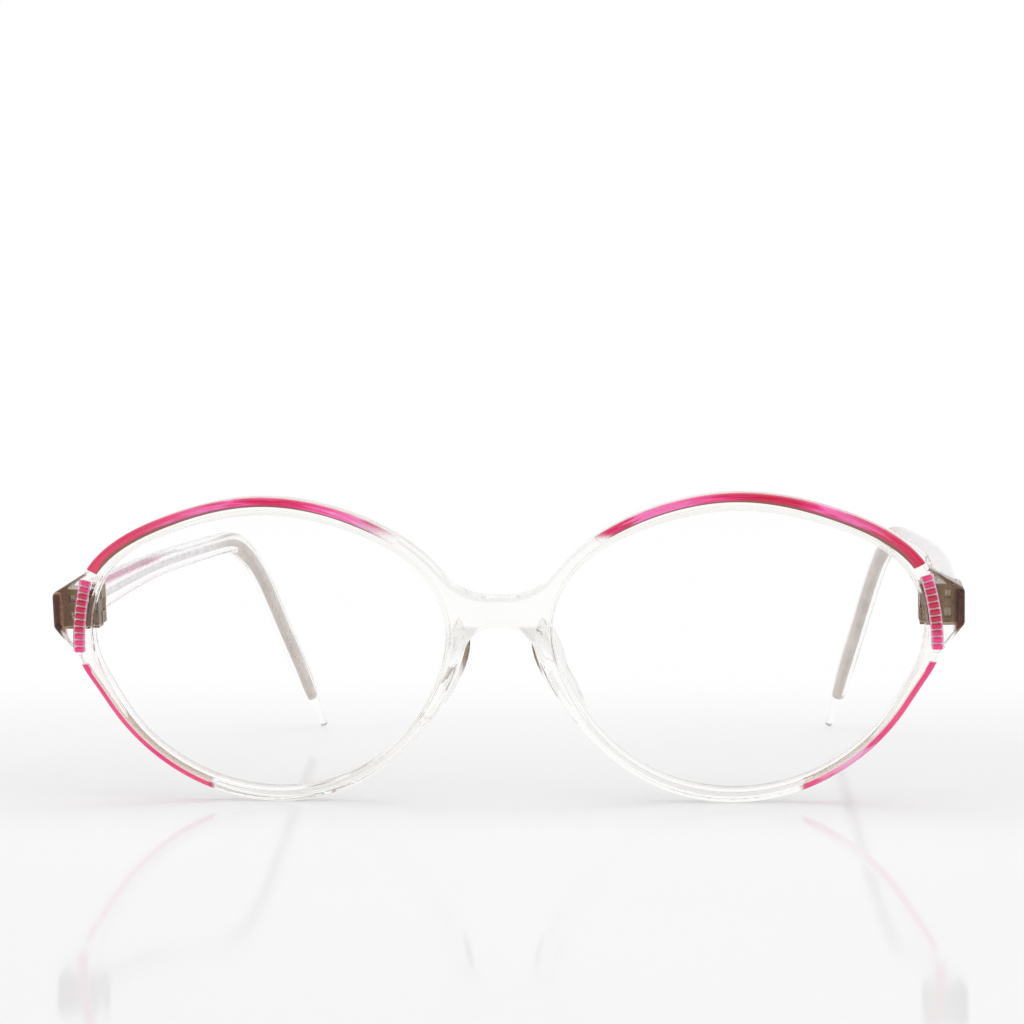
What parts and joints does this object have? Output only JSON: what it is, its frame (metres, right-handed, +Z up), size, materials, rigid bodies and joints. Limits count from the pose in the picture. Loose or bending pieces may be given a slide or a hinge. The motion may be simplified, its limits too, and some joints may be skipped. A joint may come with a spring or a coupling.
{
  "type": "oval eyeglasses",
  "caption": "Clear oval full rim eyeglasses with pink brow and lower rim bands, ribbed lugs and folding temples.",
  "frame": {"origin": "middle of the bounding box with both temples open, on the level of the surface that the eyeglasses stand on", "axes": "+X to the wearer's left, +Y back along the temples, +Z up. The front faces -Y and leans back 9 degrees, as the eyeglasses stand on a table with the temples open"},
  "size_m": [0.1362, 0.1262, 0.046],
  "materials": {
    "clear_front": "polished, clear with a warm beige cast",
    "clear_lens": "polished, colourless",
    "pink_enamel": "glossy translucent crimson to pink",
    "pink_ribs": "glossy light pink",
    "hinge_metal": "antique gold plating",
    "screw_steel": "plain turned steel",
    "clear_temple": "polished, clear with a warm mauve brown cast",
    "core_metal": "brown nickel alloy"
  },
  "bodies": {
    "front": {"front": "clear_front", "lens_left": "clear_lens", "lens_right": "clear_lens", "brow_enamel_left": "pink_enamel", "brow_enamel_right": "pink_enamel", "lower_enamel_left": "pink_enamel", "lower_enamel_right": "pink_enamel", "rib_beads_left": "pink_ribs", "rib_beads_right": "pink_ribs", "front_hinge_left": "hinge_metal", "front_hinge_right": "hinge_metal", "hinge_screw_left": "screw_steel", "hinge_screw_right": "screw_steel"},
    "temple_left": {"temple_left": "clear_temple", "temple_hinge_left": "hinge_metal", "core_wire_left": "core_metal", "temple_stripe_left": "pink_enamel"},
    "temple_right": {"temple_right": "clear_temple", "temple_hinge_right": "hinge_metal", "core_wire_right": "core_metal", "temple_stripe_right": "pink_enamel"}
  },
  "joints": [
    {"name": "temple_fold_left", "type": "hinge", "parent": "front", "child": "temple_left", "pos_m": [0.0624, -0.05225, 0.0299], "axis": [0, -0.1564, 0.9877], "range_deg": [0, 84]},
    {"name": "temple_fold_right", "type": "hinge", "parent": "front", "child": "temple_right", "pos_m": [-0.0624, -0.05225, 0.0299], "axis": [0, 0.1564, -0.9877], "range_deg": [0, 78]}
  ]
}
